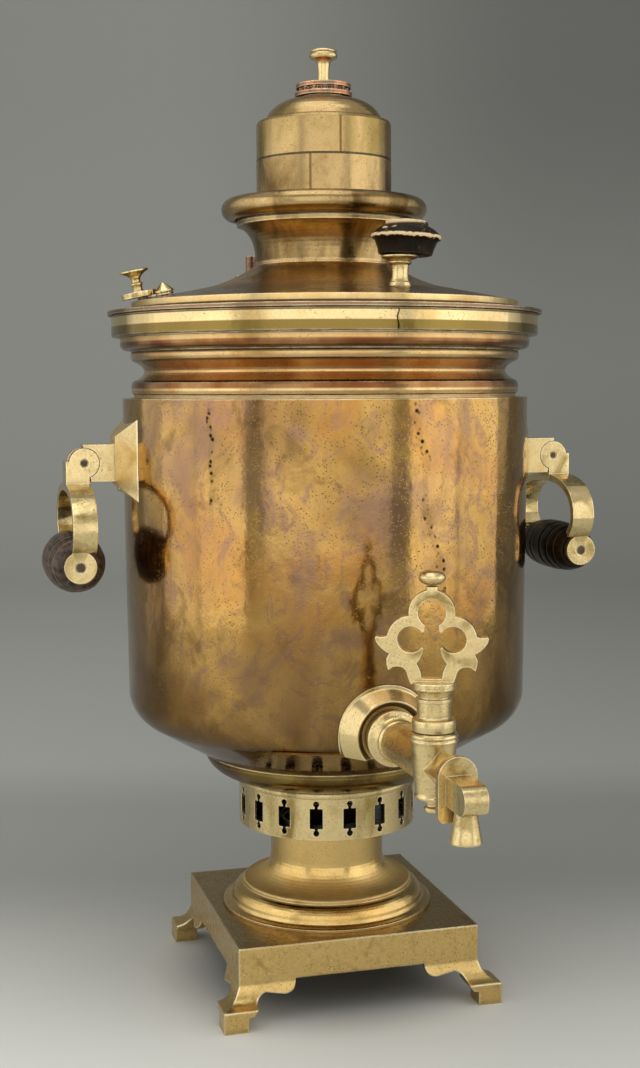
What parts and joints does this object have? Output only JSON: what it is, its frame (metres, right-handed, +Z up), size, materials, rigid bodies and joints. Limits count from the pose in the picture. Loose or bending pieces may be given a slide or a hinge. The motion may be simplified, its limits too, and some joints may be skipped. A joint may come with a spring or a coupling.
{
  "type": "drum-shaped brass samovar",
  "caption": "Charcoal-heated brass samovar: a drum vessel on a pierced collar, pedestal and footed square base, with a plug tap, swing handles and a lift-off lid, teapot crown and cap.",
  "frame": {"origin": "on the floor plane, midway between the four feet", "axes": "+Z up, tap towards -Y, +X to the right of someone who faces the tap"},
  "size_m": [0.2867, 0.3245, 0.474],
  "materials": {
    "brass": "polished brass with brown patina, pits and scratches",
    "pale_brass": "paler cast brass, worn bright on the edges",
    "copper": "reddish tarnished copper alloy",
    "iron": "dark blackened iron",
    "dark_wood": "dark brown turned wood, varnish worn",
    "black_wood": "blackened turned wood, lacquer worn through on the edges"
  },
  "bodies": {
    "urn": {"base_plinth": "brass", "pedestal": "pale_brass", "base_screws": "iron", "collar": "pale_brass", "bowl": "brass", "vessel": "brass", "neck_ring": "brass", "fire_tube": "brass", "grate": "iron", "tap_flange": "pale_brass", "tap_body": "pale_brass", "tap_saddle": "brass", "tap_locknut": "brass", "handle_plate_l": "pale_brass", "handle_plate_r": "pale_brass", "handle_nuts": "brass", "hinge_pins": "iron"},
    "key": {"tap_key": "pale_brass", "key_washer": "brass", "key_nut": "pale_brass"},
    "handle_l": {"bow_l": "pale_brass", "grip_rod_l": "iron"},
    "wood_l": {"grip_l": "dark_wood"},
    "handle_r": {"bow_r": "pale_brass", "grip_rod_r": "iron"},
    "wood_r": {"grip_r": "black_wood"},
    "lid_body": {"lid": "brass", "knob_stems": "pale_brass", "knob_bolts": "copper", "lid_knob": "black_wood", "vent_seat": "brass", "vent_pivot": "pale_brass"},
    "vent_flap": {"vent_cover": "pale_brass", "vent_button": "pale_brass"},
    "crown_body": {"crown": "brass", "cap_sleeve": "brass"},
    "cap_body": {"cap": "brass", "cap_washer": "copper", "cap_finial": "pale_brass", "cap_nut": "brass"}
  },
  "joints": [
    {"name": "tap_turn", "type": "hinge", "parent": "urn", "child": "key", "pos_m": [0, -0.1652, 0.14825], "axis": [0, 0, 1], "continuous": true},
    {"name": "handle_swing_l", "type": "hinge", "parent": "urn", "child": "handle_l", "pos_m": [-0.1238, 0, 0.2693], "axis": [0, 1, 0], "range_deg": [0, 75]},
    {"name": "grip_turn_l", "type": "hinge", "parent": "handle_l", "child": "wood_l", "pos_m": [-0.1293, 0, 0.2209], "axis": [0, 1, 0], "continuous": true},
    {"name": "handle_swing_r", "type": "hinge", "parent": "urn", "child": "handle_r", "pos_m": [0.1238, 0, 0.2693], "axis": [0, -1, 0], "range_deg": [0, 75]},
    {"name": "grip_turn_r", "type": "hinge", "parent": "handle_r", "child": "wood_r", "pos_m": [0.1293, 0, 0.2209], "axis": [0, 1, 0], "continuous": true},
    {"name": "lid_lift", "type": "slide", "parent": "urn", "child": "lid_body", "axis": [0, 0, 1], "range_m": [0, 0.12]},
    {"name": "vent_turn", "type": "hinge", "parent": "lid_body", "child": "vent_flap", "pos_m": [-0.08317, -0.008, 0.35081], "axis": [-0.1951, 0, 0.9808], "range_deg": [0, 90]},
    {"name": "crown_lift", "type": "slide", "parent": "lid_body", "child": "crown_body", "axis": [0, 0, 1], "range_m": [0, 0.06]},
    {"name": "cap_lift", "type": "slide", "parent": "crown_body", "child": "cap_body", "axis": [0, 0, 1], "range_m": [0, 0.04]}
  ]
}
